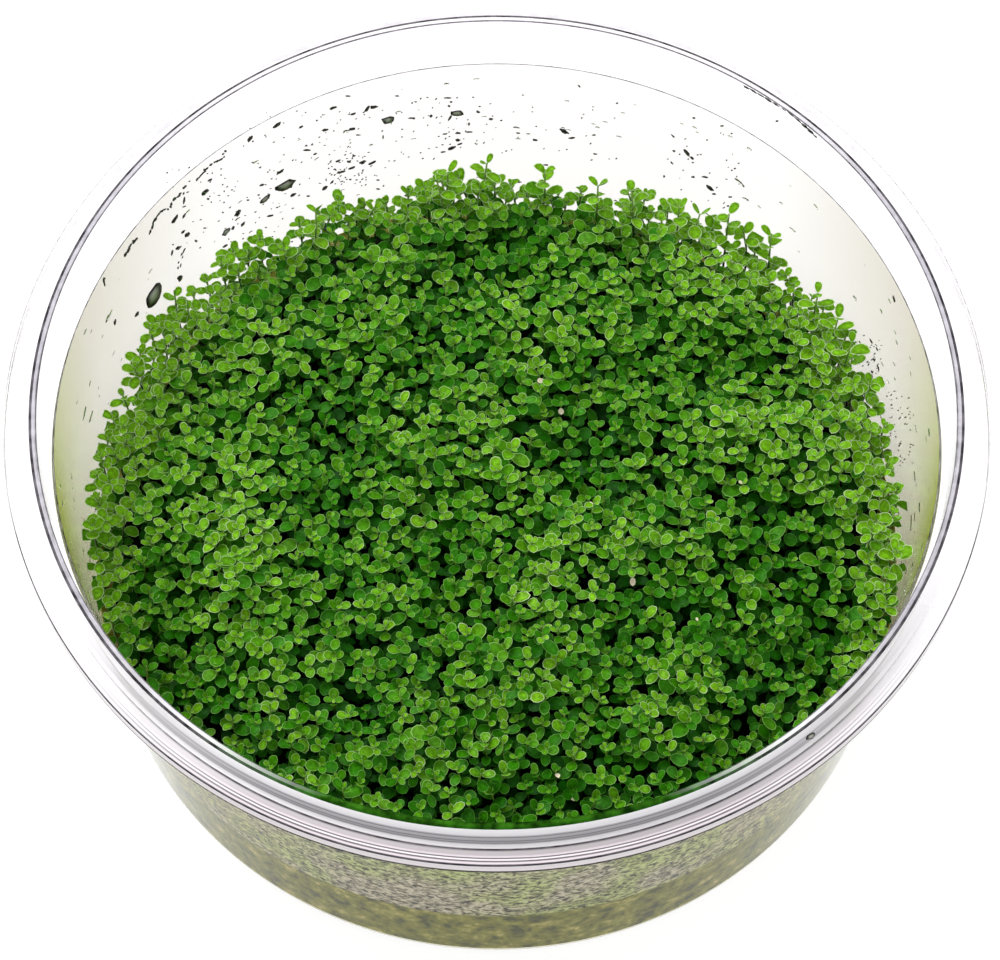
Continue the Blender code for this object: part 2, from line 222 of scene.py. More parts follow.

# Flecks painted dark as shade on the far wall, as places in the picture: x, y, length, width and
# slant
FLECKS = (
    (250, 139, 7, 3, 50), (277, 125, 9, 3, 35), (333, 108, 8, 2.5, 20), (301, 127, 5, 2, 30),
    (325, 130, 6, 2.5, 10), (307, 150, 7, 2, 0), (315, 154, 4, 1.5, 25), (280, 172, 9, 2.5, 32),
    (286, 185, 20, 8, 25), (265, 199, 12, 4, 45), (262, 185, 5, 2, 25), (205, 192, 8, 4, 40),
    (210, 180, 5, 2, 30), (208, 199, 3, 2, 0), (175, 219, 10, 3, 55), (238, 213, 10, 3.5, 50),
    (226, 232, 11, 4, 50), (243, 224, 6, 2.5, 50), (233, 228, 5, 2, 60), (187, 235, 6, 3, 45),
    (183, 232, 5, 2, 45), (178, 248, 5, 3, 20), (172, 253, 6, 2, 75), (184, 216, 6, 2, 60),
    (184, 201, 7, 2, 80), (196, 241, 3, 2, 0), (225, 246, 6, 2, 30), (180, 278, 7, 4, 60),
    (154, 295, 23, 10, 65), (137, 314, 6, 3, 60), (115, 322, 6, 2, 80), (293, 195, 6, 2.5, 30),
    (308, 196, 4, 1.5, 0), (270, 216, 6, 2, 10), (248, 200, 3, 1.5, 0), (341, 172, 9, 2, 10),
    (338, 161, 5, 2, 20), (325, 188, 6, 3, 30), (332, 182, 5, 2, 45), (367, 109, 8, 2.5, 50),
    (374, 107, 8, 3, 5), (388, 120, 12, 6, 10), (353, 114, 6, 2, 20), (352, 129, 6, 3, 15),
    (358, 135, 5, 1.5, 0), (348, 96, 5, 1.5, 0), (397, 96, 4, 1.5, 0), (349, 162, 4, 1.5, 0),
    (363, 162, 7, 3, 20), (372, 163, 8, 2.5, 25), (352, 168, 8, 2, 20), (448, 98, 7, 1.5, 0),
    (451, 102, 3, 2, 0), (449, 106, 3, 2, 0), (457, 113, 12, 4.5, 0), (450, 118, 7, 2, 60),
    (469, 124, 3, 2, 90), (469, 132, 7, 1.5, 0), (445, 134, 5, 1.5, 10), (458, 133, 5, 2, 0),
    (458, 140, 5, 2.5, 0), (460, 144, 5, 1.5, 20), (452, 148, 8, 2.5, 20), (443, 152, 5, 1.5, 10),
    (478, 112, 4, 2, 0), (491, 119, 4, 2, 0), (412, 118, 7, 1.5, 0), (431, 116, 3, 3, 0),
    (383, 137, 4, 1.5, 90), (535, 140, 5, 2, -10), (518, 133, 4, 1.5, 0), (564, 131, 10, 3.5, -30),
    (572, 138, 7, 2, 10), (594, 135, 4, 1.5, 0), (595, 154, 4, 1.5, 0), (579, 86, 4, 1.5, -40),
    (410, 194, 12, 3, 25), (424, 196, 4, 1.5, 20), (546, 165, 5, 1.5, 0), (519, 182, 5, 1.5, 0),
    (378, 180, 4, 1.5, 0), (378, 189, 4, 1.5, 0), (694, 118, 3, 2, 0), (722, 126, 4, 1.5, 0),
    (687, 153, 8, 3, -50), (692, 158, 5, 2, -40), (674, 151, 3, 2, 0), (672, 163, 4, 1.5, -45),
    (693, 177, 4, 2, 0), (705, 177, 6, 2, -10), (710, 188, 9, 3, -40), (714, 194, 4, 2, -10),
    (730, 197, 4, 1.5, 0), (728, 206, 3, 1.5, 0), (673, 136, 5, 1.5, -40), (894, 299, 7, 2, -78),
    (871, 341, 5, 1.5, -60), (877, 349, 4, 1.5, -60), (861, 348, 3, 1.5, -70),
    (874, 360, 4, 1.5, -60), (878, 367, 5, 1.5, -70), (872, 372, 4, 1.5, -60),
)
# Marks of the same kind inside the neck at its far side, and one on the lip's near slope
NECK_MARKS = (
    (746.5, 87.5, 7, 2.0, -31), (753.5, 91.2, 10, 1.6, -32), (761, 95.5, 9, 1.3, -33),
    (768, 99.8, 10, 1.8, -33), (776, 104.6, 9, 1.4, -35), (777, 121, 3, 2, 0),
    (784, 109.6, 6, 0.9, -36), (791, 114.5, 9, 1.1, -38), (798, 120.2, 10, 1.5, -40),
    (804.5, 125.8, 8, 2.2, -43), (810, 131, 8, 2.4, -43), (815, 136, 6, 1.4, -43),
)
LIP_MARKS = ((811, 736, 10, 5.5, 35),)
# Smears of joined flecks on the wall, as lines in the picture and their width
SMEARS = (
    (((228, 151), (222, 157), (213, 163), (203, 172), (196, 181)), 2.6),
    (((187, 185), (182, 193), (172, 200), (168, 208), (160, 212), (154, 221), (150, 234)), 2.6),
    (((138, 236), (132, 244), (125, 256)), 3.4),
    (((186, 248), (180, 260), (178, 270)), 1.6),
    (((103, 275), (105, 286)), 2.5),
)
# Fields of fine specks there, as boxes in the picture and how many each holds
SPECK_FIELDS = (
    ((165, 165, 300, 250), 96), ((240, 110, 400, 200), 96), ((400, 95, 480, 160), 48),
    ((480, 95, 620, 160), 32), ((325, 150, 372, 186), 48), ((660, 130, 740, 210), 35),
    ((858, 335, 882, 390), 41), ((886, 390, 912, 440), 32), ((898, 440, 914, 466), 19),
)
# Sizes in pixels and slants in degrees of the specks, and of the flecks that make up a smear,
# where they lie between its points, and their sizes as shares of those points' distance and of
# its width
SPECK_LENGTHS, SPECK_WIDTHS, SPECK_SLANTS = (1.0, 2.8), (0.7, 1.4), (-10, 50)
SMEAR_SHARES, SMEAR_WANDER = (0.2, 0.5, 0.8), 0.8
SMEAR_LENGTHS, SMEAR_WIDTHS = (0.2, 0.5), (0.5, 1.0)
FLECK_LENGTHENED, FLECK_WIDENED = 1.1, 1.2
FLECK_ROUGHNESS = (0.75, 1.2)
FLECK_SIDES = 12
# Rim value of a fleck's edge, just below what is creased as a leaf's margin
FLECK_EDGE, CREASED_ABOVE = 0.98, 0.99
# Above this area in square pixels a fleck is painted pale in its middle, as light through it
PALE_FLECK_AREA = 55
FLECK_RIM_LIFT, FLECK_DOME, FLECK_BACK_LIFT = 0.01 * MM, 0.09 * MM, 0.008 * MM

# Studio, in metres
FLOOR_RADIUS = 1.2
FLOOR_STEPS = 96
FLOOR_GAP = 0.02 * MM
LAMP_PLACE = (-0.5, 0.6, 1.1)
LAMP_SIZE = 0.9
LAMP_ENERGY = 13.0
SKY_STRENGTH = 0.95

SEED = 7


def linear(hex_colour):
    """An sRGB hex colour as the linear values that a shader takes."""
    channels = [int(hex_colour[i:i + 2], 16) / 255 for i in (1, 3, 5)]
    bent = [c / 12.92 if c <= 0.04045 else ((c + 0.055) / 1.055) ** 2.4 for c in channels]
    return (*bent, 1.0)


def per_metre(size_in_mm):
    """Scale of a pattern whose features are this many millimetres across."""
    return 1.0 / (size_in_mm * MM)


def add_node(tree, kind, settings=None, links=None):
    """A shader node with its settings, which are properties or sockets, and its links.

    A link comes from a socket, or from the first output in use of another node.
    """
    node = tree.nodes.new("ShaderNode" + kind)
    for key, value in (settings or {}).items():
        if key == "stops":
            ramp = node.color_ramp
            while len(ramp.elements) < len(value):
                ramp.elements.new(1.0)
            for element, (place, colour) in zip(ramp.elements, value):
                element.position = place
                element.color = linear(colour)
        elif isinstance(key, str) and hasattr(node, key):
            setattr(node, key, value)
        else:
            node.inputs[key].default_value = value
    for key, source in (links or {}).items():
        if isinstance(source, bpy.types.Node):
            source = next(socket for socket in source.outputs if socket.enabled)
        tree.links.new(source, node.inputs[key])
    return node


def new_material(name):
    """An empty material, its node tree, and the place on the object that patterns follow."""
    made = bpy.data.materials.new(name)
    made.use_nodes = True
    made.node_tree.nodes.clear()
    place = add_node(made.node_tree, "TexCoord").outputs["Object"]
    return made, made.node_tree, place


def finished(made, shader):
    """The material with its shader on its surface."""
    add_node(made.node_tree, "OutputMaterial", links={"Surface": shader})
    return made


def mottled(tree, place, size_in_mm, stops, **noise_settings):
    """A colour that wanders between stops, in patches of a size."""
    patches = add_node(
        tree, "TexNoise", {"Scale": per_metre(size_in_mm), **noise_settings}, {"Vector": place})
    return add_node(tree, "ValToRGB", {"stops": stops}, {"Fac": patches})


def mottled_material(name, size_in_mm, stops, surface, **noise_settings):
    """A material of one wandering colour, with the settings of its surface."""
    made, tree, place = new_material(name)
    colour = mottled(tree, place, size_in_mm, stops, **noise_settings)
    return finished(made, add_node(tree, "BsdfPrincipled", surface, {"Base Color": colour}))


def mesh_values(tree):
    """The two values that a mesh carries: how near the rim a point is, and its tint."""
    carried = add_node(tree, "UVMap", {"uv_map": "rim_and_age"})
    parts = add_node(tree, "SeparateXYZ", links={"Vector": carried})
    return parts.outputs["X"], parts.outputs["Y"]


def broken_shades(tree, place, *pairs):
    """Streaks along a crease, once in each pair of a dark and a pale colour."""
    breaks = add_node(tree, "TexNoise", {"Scale": per_metre(CREASE_BREAK)}, {"Vector": place})
    return [add_node(tree, "ValToRGB", {"stops": ((0.36, dark), (0.66, pale))}, {"Fac": breaks})
            for dark, pale in pairs]


def share_along(tree, place, axis, start, end, least=0.0):
    """How far along an axis a point is, from 0 or a least to 1 between two distances in mm.

    X counts to either side alike, and Y is below 0 in front.
    """
    along = add_node(tree, "SeparateXYZ", links={"Vector": place}).outputs[axis]
    if axis == "X":
        along = add_node(tree, "Math", {"operation": "ABSOLUTE"}, {0: along})
    return add_node(
        tree, "MapRange", {"From Min": start * MM, "From Max": end * MM, "To Min": least},
        {"Value": along})


def clear_polystyrene(name, colour, ior, ripple_width):
    """Thermoformed clear polystyrene: glossy and water-clear, with faint draw ripples."""
    made, tree, place = new_material(name)
    ripple = add_node(
        tree, "TexNoise", {"Scale": per_metre(ripple_width), "Detail": 1.0}, {"Vector": place})
    bump = add_node(tree, "Bump", {"Strength": 0.10, "Distance": 0.2 * MM}, {"Height": ripple})
    return finished(made, add_node(
        tree, "BsdfPrincipled",
        {"Base Color": linear(colour), "Roughness": 0.02, "IOR": ior, "Transmission Weight": 1.0},
        {"Normal": bump}))


def painted_band_polystyrene(name, stops, across):
    """Lip and flange sheet, painted in front with bands of white highlight and grey shade.

    The stops are bands by distance in mm, of height or else of radius when across is set.
    """
    made, tree, place = new_material(name)
    axes = (1, 1, 0) if across else (0, 0, 1)
    flat = add_node(tree, "Mapping", {"Scale": axes}, {"Vector": place})
    reach = add_node(tree, "VectorMath", {"operation": "LENGTH"}, {0: flat})
    band_wobble = add_node(
        tree, "TexNoise", {"Scale": per_metre(2.5), "Detail": 3.0}, {"Vector": place})
    sway = add_node(
        tree, "MapRange", {"To Min": -0.04 * MM, "To Max": 0.04 * MM}, {"Value": band_wobble})
    wavy = add_node(tree, "Math", {"operation": "ADD"}, {0: reach, 1: sway})
    low, high = stops[0][0], stops[-1][0]
    share = add_node(
        tree, "MapRange", {"From Min": low * MM, "From Max": high * MM}, {"Value": wavy})
    spread = [((at - low) / (high - low), colour) for at, colour in stops]
    bands = add_node(tree, "ValToRGB", {"stops": spread}, {"Fac": share})
    # Painted bands of highlight and shade in front, near white behind
    colour = add_node(
        tree, "Mix", {"data_type": "RGBA", "A": linear("#fdfbfe")},
        {"Factor": share_along(tree, place, "Y", -24, -46), "B": bands})
    # Opaque in front, so that the painted bands hide what lies behind
    clarity = add_node(
        tree, "MapRange", {"To Min": 1.0, "To Max": 0.0},
        {"Value": share_along(tree, place, "Y", -18, -40)})
    return finished(made, add_node(
        tree, "BsdfPrincipled", {"Roughness": 0.06, "IOR": RIM_IOR},
        {"Base Color": colour, "Transmission Weight": clarity}))


def painted_crease_polystyrene(name, ahead, behind, clarity, start, end):
    """Sharp folds of the sheet, painted as fine broken lines of shade and light."""
    made, tree, place = new_material(name)
    front = share_along(tree, place, "Y", start, end)
    far_shade, near_shade = broken_shades(tree, place, behind, ahead)
    colour = add_node(
        tree, "Mix", {"data_type": "RGBA"}, {"Factor": front, "A": far_shade, "B": near_shade})
    through = add_node(
        tree, "MapRange", {"To Min": clarity, "To Max": CREASE_CLARITY_AHEAD}, {"Value": front})
    return finished(made, add_node(
        tree, "BsdfPrincipled", {"Roughness": 0.1, "IOR": RIM_IOR},
        {"Base Color": colour, "Transmission Weight": through}))


def folded_lip():
    """Top of the lip: clear behind, painted lavender shade at the sides, painted leaves in front.
    """
    made, tree, place = new_material("folded_lip")
    painted_leaf_share = share_along(tree, place, "Y", -38, -46)
    side = share_along(tree, place, "X", 24, 42)
    painted_side_shade_share = add_node(
        tree, "Math", {"operation": "SUBTRACT", "use_clamp": True}, {0: side, 1: painted_leaf_share})
    # Painted shade at the sides, and in front the painted dark green of the leaves behind the
    # sheet
    painted_side_shade, leaves = broken_shades(tree, place, ("#a4a0aa", "#c4c0ca"), ("#0a2604", "#387216"))
    clear = add_node(
        tree, "Mix", {"data_type": "RGBA", "A": linear("#fcfcfc")}, {"Factor": painted_side_shade_share, "B": painted_side_shade})
    colour = add_node(
        tree, "Mix", {"data_type": "RGBA"}, {"Factor": painted_leaf_share, "A": clear, "B": leaves})
    clarity = add_node(tree, "MapRange", {"To Min": 1.0, "To Max": 0.45}, {"Value": painted_side_shade_share})
    through = add_node(
        tree, "MapRange", {"To Max": CREASE_CLARITY_AHEAD},
        {"Value": share_along(tree, place, "Y", -18, -36), "To Min": clarity})
    return finished(made, add_node(
        tree, "BsdfPrincipled", {"Roughness": 0.05, "IOR": RIM_IOR},
        {"Base Color": colour, "Transmission Weight": through}))


def wetted_polystyrene():
    """The same sheet where gel wets it, so that light passes with almost no step in between."""
    return mottled_material(
        "wetted_polystyrene", 3.0, ((0.35, "#dad6a8"), (0.65, "#ece8ca")),
        {"Roughness": 0.05, "IOR": WETTED_IOR, "Transmission Weight": 1.0})


def fogged_polystyrene():
    """The same sheet under condensation: a clear back, painted olive sides, painted beads in
    front.
    """
    made, tree, place = new_material("fogged_polystyrene")
    front = share_along(tree, place, "Y", -12, -28)
    # Where the wall stands edge-on, how high up it that is, and how near the front
    side, flank = (share_along(tree, place, "X", *reach) for reach in ((32, 46), (20, 38)))
    upper = share_along(tree, place, "Z", 27, 40, 0.7)
    nearer = share_along(tree, place, "Y", 14, -8, 0.1)
    green = add_node(tree, "Math", {"operation": "MULTIPLY"}, {0: side, 1: upper})
    olive = add_node(tree, "Math", {"operation": "MULTIPLY"}, {0: green, 1: nearer})
    # Beads of condensation, which dent the sheet, and their painted highlights and shade over its
    # stains in front
    squat = add_node(tree, "Mapping", {"Scale": (0.75, 0.75, 1.0)}, {"Vector": place})
    ripple = add_node(
        tree, "TexNoise", {"Scale": per_metre(0.56), "Distortion": 0.8}, {"Vector": squat})
    bump = add_node(tree, "Bump", {"Distance": 0.16 * MM}, {"Height": ripple, "Strength": front})
    beads = add_node(
        tree, "ValToRGB",
        {"stops": ((0.37, "#26241c"), (0.43, "#a8a69c"), (0.53, "#c6c4ba"), (0.58, "#ffffff"))},
        {"Fac": ripple})
    stain = mottled(tree, place, 8.0, ((0.40, "#ece2ca"), (0.60, "#dce698")), Detail=2.5)
    # Painted tan where the front's flanks are seen edge-on
    painted_flank_tan = add_node(
        tree, "Mix", {"data_type": "RGBA", "B": linear("#bcb650")}, {"Factor": flank, "A": stain})
    wet = add_node(
        tree, "Mix", {"data_type": "RGBA", "blend_type": "MULTIPLY", "Factor": 1.0},
        {"A": painted_flank_tan, "B": beads})
    # The clear back, and the sides painted grey and olive as a painted reflection of the plants
    pale = add_node(
        tree, "Mix", {"data_type": "RGBA", "A": linear("#f2eef0"), "B": linear("#ccc4b8")},
        {"Factor": green})
    veil = add_node(
        tree, "Mix", {"data_type": "RGBA", "B": linear("#a6b040")}, {"Factor": olive, "A": pale})
    colour = add_node(tree, "Mix", {"data_type": "RGBA"}, {"Factor": front, "A": veil, "B": wet})
    behind = add_node(tree, "MapRange", {"To Min": 0.88, "To Max": 0.76}, {"Value": side})
    ahead = add_node(tree, "MapRange", {"To Min": 0.30, "To Max": 0.12}, {"Value": flank})
    clarity = add_node(tree, "MapRange", links={"Value": front, "To Min": behind, "To Max": ahead})
    blur = add_node(tree, "MapRange", {"To Min": 0.25, "To Max": 0.15}, {"Value": front})
    return finished(made, add_node(
        tree, "BsdfPrincipled", {"IOR": WALL_IOR},
        {"Base Color": colour, "Normal": bump, "Roughness": blur, "Transmission Weight": clarity}))


def agar_gel():
    """Set agar with nutrients: a cloudy straw-olive jelly, pale where roots run through it."""
    made, tree, place = new_material("agar_gel")
    flat = add_node(tree, "Mapping", {"Scale": (1.0, 1.0, 0.8)}, {"Vector": place})
    colour = mottled(
        tree, flat, 1.7,
        ((0.36, "#505422"), (0.46, "#808432"), (0.56, "#9a9a44"), (0.68, "#dccf94")),
        Detail=6.0, Roughness=0.65)
    return finished(made, add_node(
        tree, "BsdfPrincipled", {"Roughness": 0.35, "IOR": 1.34, "Specular IOR Level": 0.0},
        {"Base Color": colour}))


def rooted_and_shaded_skin():
    """Top of the gel matted by old stems and roots: brown, matt and painted near black as shade.
    """
    return mottled_material(
        "rooted_and_shaded_skin", 0.6, ((0.40, "#050a03"), (0.80, "#161c0a")),
        {"Roughness": 0.8, "Specular IOR Level": 0.1}, Detail=4.0, Distortion=2.0)


def leaf_blade():
    """Living leaf of dwarf baby tears: soft satin green, a painted pale margin, lit through."""
    made, tree, place = new_material("leaf_blade")
    rim_share, tint_share = mesh_values(tree)
    # By tint: older and in painted shade lower down, in painted light on mounds and near the rim
    age = add_node(
        tree, "ValToRGB",
        {"stops": ((0.0, "#105804"), (0.3, "#206c04"), (0.6, "#3e940a"), (1.0, "#8acc20"))},
        {"Fac": tint_share})
    mottle = add_node(tree, "TexNoise", {"Scale": per_metre(0.4)}, {"Vector": place})
    uneven = add_node(
        tree, "MapRange", {"From Min": 0.3, "From Max": 0.7, "To Min": 0.70, "To Max": 1.25},
        {"Value": mottle})
    # Painted shade: darker from the middle out toward the margin
    across = add_node(
        tree, "MapRange", {"From Min": 0.30, "From Max": 0.85, "To Min": 1.08, "To Max": 0.82},
        {"Value": rim_share})
    value = add_node(tree, "Math", {"operation": "MULTIPLY"}, {0: uneven, 1: across})
    toned = add_node(tree, "HueSaturation", links={"Color": age, "Value": value})
    # Painted highlight: a thin pale margin, brightest on the highest tints
    rim = add_node(tree, "MapRange", {"From Min": 0.88, "From Max": 0.98}, {"Value": rim_share})
    edge = add_node(
        tree, "ValToRGB",
        {"stops": ((0.15, "#1a5208"), (0.45, "#5aae34"), (0.75, "#b4e880"), (1.0, "#ecfed0"))},
        {"Fac": tint_share})
    green = add_node(tree, "Mix", {"data_type": "RGBA"}, {"Factor": rim, "A": toned, "B": edge})
    dead = add_node(tree, "MapRange", {"From Min": 1.2, "From Max": 1.4}, {"Value": tint_share})
    colour = add_node(
        tree, "Mix", {"data_type": "RGBA", "B": linear("#fff6dc")}, {"Factor": dead, "A": green})
    skin = add_node(
        tree, "BsdfPrincipled", {"Roughness": 0.40, "IOR": 1.42, "Specular IOR Level": 0.14},
        {"Base Color": colour})
    lit = add_node(tree, "BsdfTranslucent", links={"Color": colour})
    return finished(made, add_node(tree, "MixShader", {"Fac": 0.32}, {1: skin, 2: lit}))


def leaf_stem():
    """Thin juicy stems, pale yellow-green at the tip and brown where they age near the gel."""
    made, tree, _ = new_material("leaf_stem")
    colour = add_node(
        tree, "ValToRGB",
        {"stops": ((0.0, "#181208"), (0.35, "#22300a"), (0.7, "#335c10"), (1.0, "#78a238"))},
        {"Fac": mesh_values(tree)[1]})
    return finished(made, add_node(
        tree, "BsdfPrincipled", {"Roughness": 0.4}, {"Base Color": colour}))


def painted_shade_fleck():
    """Flecks painted blackish green as shade, pale in the middle of large ones, a little glossy.
    """
    made, tree, place = new_material("painted_shade_fleck")
    dark = mottled(tree, place, 0.8, ((0.35, "#0c0e08"), (0.7, "#363a2e")))
    rim_share, tint_share = mesh_values(tree)
    # Painted light: large flecks are pale in the middle
    middle = add_node(tree, "MapRange", {"From Min": 0.75, "From Max": 0.35}, {"Value": rim_share})
    thin = add_node(tree, "Math", {"operation": "MULTIPLY"}, {0: middle, 1: tint_share})
    colour = add_node(
        tree, "Mix", {"data_type": "RGBA", "B": linear("#b4b8aa")}, {"Factor": thin, "A": dark})
    return finished(made, add_node(
        tree, "BsdfPrincipled", {"Roughness": 0.3}, {"Base Color": colour}))


def water_drop():
    """Condensed water: clear beads that bend what is behind them."""
    return mottled_material(
        "water_drop", 2.0, ((0.3, "#e8ebe4"), (0.7, "#ffffff")),
        {"Roughness": 0.0, "IOR": 1.33, "Transmission Weight": 1.0})


def opal_acrylic():
    """Opal light table that the cup stands on: milky acrylic, lit softly from below."""
    return mottled_material(
        "opal_acrylic", 0.4, ((0.3, "#8e8e8e"), (0.7, "#929292")),
        {"Roughness": 0.9, "Emission Color": linear("#ffffff"), "Emission Strength": 0.87})


def in_scene(name, data):
    """An object made from its data and linked into the scene."""
    made = bpy.data.objects.new(name, data)
    bpy.context.scene.collection.objects.link(made)
    return made


def add_piece(name, mesh, slot, *nodes):
    """A piece of the object, riding on its body and standing for its nodes."""
    made = in_scene(name, mesh)
    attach(made, "root")
    if nodes:
        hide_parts(*nodes)


def mesh_of(name, points, faces, materials, face_material=None, rim_and_age=None):
    """A smooth mesh from arrays of points and triangles, creased along leaf margins."""
    points = np.asarray(points, np.float32)
    faces = np.asarray(faces, np.int32)
    corners = faces.shape[1]
    mesh = bpy.data.meshes.new(name)
    mesh.vertices.add(len(points))
    mesh.vertices.foreach_set("co", points.ravel())
    mesh.loops.add(faces.size)
    mesh.loops.foreach_set("vertex_index", faces.ravel())
    mesh.polygons.add(len(faces))
    mesh.polygons.foreach_set("loop_start", np.arange(0, faces.size, corners, dtype=np.int32))
    for material in materials:
        mesh.materials.append(material)
    if face_material is not None:
        mesh.polygons.foreach_set("material_index", np.asarray(face_material, np.int32))
    if rim_and_age is not None:
        layer = mesh.uv_layers.new(name="rim_and_age")
        layer.data.foreach_set("uv", np.asarray(rim_and_age, np.float32)[faces.ravel()].ravel())
    mesh.update(calc_edges=True)
    mesh.validate()
    mesh.shade_smooth()
    if rim_and_age is not None:
        ends = np.empty(len(mesh.edges) * 2, np.int32)
        mesh.edges.foreach_get("vertices", ends)
        margin = np.asarray(rim_and_age)[:, 0] > CREASED_ABOVE
        creased = margin[ends].reshape(-1, 2).all(axis=1)
        mesh.attributes.new("sharp_edge", "BOOLEAN", "EDGE")
        mesh.attributes["sharp_edge"].data.foreach_set("value", creased)
    return mesh


def round_angles(count):
    """Even angles round a circle."""
    return np.linspace(0, tau, count, endpoint=False)


def ringed(rings, sides, foot, end):
    """Triangles of a stack of rings of points, each end of it closed by a fan to a point."""
    here = np.arange(sides)
    after = (here + 1) % sides
    faces = [np.column_stack((np.full(sides, foot), after, here))]
    for low in range(0, (rings - 1) * sides, sides):
        high = low + sides
        faces += [np.column_stack((low + here, low + after, high + after)),
                  np.column_stack((low + here, high + after, high + here))]
    last = (rings - 1) * sides
    return np.vstack((*faces, np.column_stack((np.full(sides, end), last + here, last + after))))


def softened(corners):
    """Points of a profile with its corners rounded, and the finish from each to the next."""
    points, finishes = [], []
    for number, (radius, height, bend, finish) in enumerate(corners):
        corner = Vector((radius, height)) * MM
        if bend == 0:
            points.append(corner)
            finishes.append(finish)
            continue
        into = corner - Vector(corners[number - 1][:2]) * MM
        out = Vector(corners[number + 1][:2]) * MM - corner
        reach = min(bend * MM, into.length * CORNER_SHARE, out.length * CORNER_SHARE)
        start, end = corner - into.normalized() * reach, corner + out.normalized() * reach
        for i in range(CORNER_STEPS + 1):
            t = i / CORNER_STEPS
            points.append(start * (1 - t) ** 2 + corner * 2 * t * (1 - t) + end * t * t)
            finishes.append(finish if t > 0.5 else corners[number - 1][3])
    return points, finishes


def turned(name, corners, finishes):
    """A body of revolution from the corners of a profile that starts and ends on the axis."""
    profile, stretches = softened(corners)
    names = list(finishes)
    bearings = round_angles(ROUND_STEPS)
    rings = np.array([tuple(p) for p in profile[1:-1]])
    points = np.empty((len(rings), ROUND_STEPS, 3))
    points[:, :, 0] = rings[:, :1] * np.cos(bearings)
    points[:, :, 1] = rings[:, :1] * np.sin(bearings)
    points[:, :, 2] = rings[:, 1:]
    points = np.vstack((points.reshape(-1, 3), (0, 0, profile[0][1]), (0, 0, profile[-1][1])))
    faces = ringed(len(rings), ROUND_STEPS, len(points) - 2, len(points) - 1)[:, ::-1]
    # A stretch is two triangles a step, and one in the fan at either end
    marks = np.repeat([names.index(stretch) for stretch in stretches[:-1]], 2 * ROUND_STEPS)
    return mesh_of(name, points, faces, finishes.values(), marks[ROUND_STEPS:-ROUND_STEPS])


def wall_inner_radius(height):
    """Radius of the inside of the tapered wall."""
    low_radius, low, high_radius, high = (size * MM for size in WALL_INSIDE)
    return low_radius + (high_radius - low_radius) * ((height - low) / (high - low))


def cup():
    """The tub: tapered wall, a ledge for a lid, lip, ridged flange and foot ring."""
    finishes = {
        "clear": clear_polystyrene("clear_polystyrene_rim", "#fcfafd", RIM_IOR, 5.0),
        "neck": clear_polystyrene("clear_polystyrene_neck", "#fefdff", RIM_IOR, 5.0),
        "wall": clear_polystyrene("clear_polystyrene_wall", "#fbfaf4", WALL_IOR, 6.0),
        "fogged": fogged_polystyrene(), "wetted": wetted_polystyrene(),
        "painted_bands": painted_band_polystyrene("painted_band_polystyrene", LIP_PAINTED_BANDS, False),
        "ridged": painted_band_polystyrene("ridged_polystyrene", FLANGE_PAINTED_BANDS, True),
        "lip": folded_lip(),
    }
    finishes.update((key, painted_crease_polystyrene(*crease)) for key, crease in CREASES.items())
    add_piece("cup_walls", turned("cup_walls", CUP_CORNERS, finishes), "clear_cup", "cup")


def nutrient_gel():
    """The disc of gel, with a meniscus where it wets the wall and roots in its skin."""
    top, rim_height = GEL_TOP / MM, (GEL_TOP + MENISCUS_RISE) / MM
    rim_radius = (wall_inner_radius(GEL_TOP + MENISCUS_RISE) - GEL_CLEARANCE) / MM
    foot_radius = (wall_inner_radius(GEL_FLOOR) - GEL_CLEARANCE) / MM
    corners = ((0.0, top, 0, "rooted_and_shaded"), (rim_radius - MENISCUS_WIDTH, top, 0.8, "gel"),
               (rim_radius, rim_height, 0.1, "gel"), (foot_radius, GEL_FLOOR / MM, 1.6, "gel"),
               (0.0, GEL_FLOOR / MM, 0, "gel"))
    finishes = {"gel": agar_gel(), "rooted_and_shaded": rooted_and_shaded_skin()}
    add_piece("gel_disc", turned("gel_disc", corners, finishes), "gel", "nutrient_gel")


def leaf_form(rim_points):
    """A leaf one unit long from its foot along X, rounder towards the tip and thin at the rim."""
    turn = round_angles(rim_points)
    along = (1 - np.cos(turn)) / 2
    across = np.sin(turn) / 2 * (1 - LEAF_ROUNDNESS * np.cos(turn))
    rim = np.column_stack((along, across, np.zeros(rim_points)))
    middle = np.array((LEAF_MIDDLE, 0.0, 0.0))
    band = middle + (rim - middle) * LEAF_MARGIN + (0, 0, LEAF_MARGIN_RISE)
    points = np.vstack((rim, band, middle - (0, 0, LEAF_DISH), middle - (0, 0, LEAF_BELLY)))
    share = np.concatenate((np.ones(rim_points), np.full(rim_points, LEAF_MARGIN), (0.0, 0.6)))
    return points, ringed(2, rim_points, 2 * rim_points + 1, 2 * rim_points), share


def wall_pressed(points):
    """Moves points that would pass through the wall or the gel back to just clear of them."""
    radius = np.hypot(points[:, 0], points[:, 1])
    limit = wall_inner_radius(points[:, 2]) - PRESS_ROOM
    pull = np.minimum(1.0, limit / np.maximum(radius, 1e-9))
    points[:, :2] *= pull[:, None]
    points[:, 2] = np.maximum(points[:, 2], GEL_TOP - PRESS_DEPTH)
    return points


def stem_path(foot, tip, bow, shares):
    """Points and directions along a bowed stem."""
    shares = np.asarray(shares)[:, None]
    points = foot + (tip - foot) * shares + bow * 4 * shares * (1 - shares)
    heading = (tip - foot) + bow * 4 * (1 - 2 * shares)
    return points, heading / np.linalg.norm(heading, axis=1)[:, None]


def around(heading):
    """Two directions square to a stem's and to each other."""
    side = np.cross(heading, (0.0, 1.0, 0.1))
    side /= np.linalg.norm(side)
    return side, np.cross(heading, side)


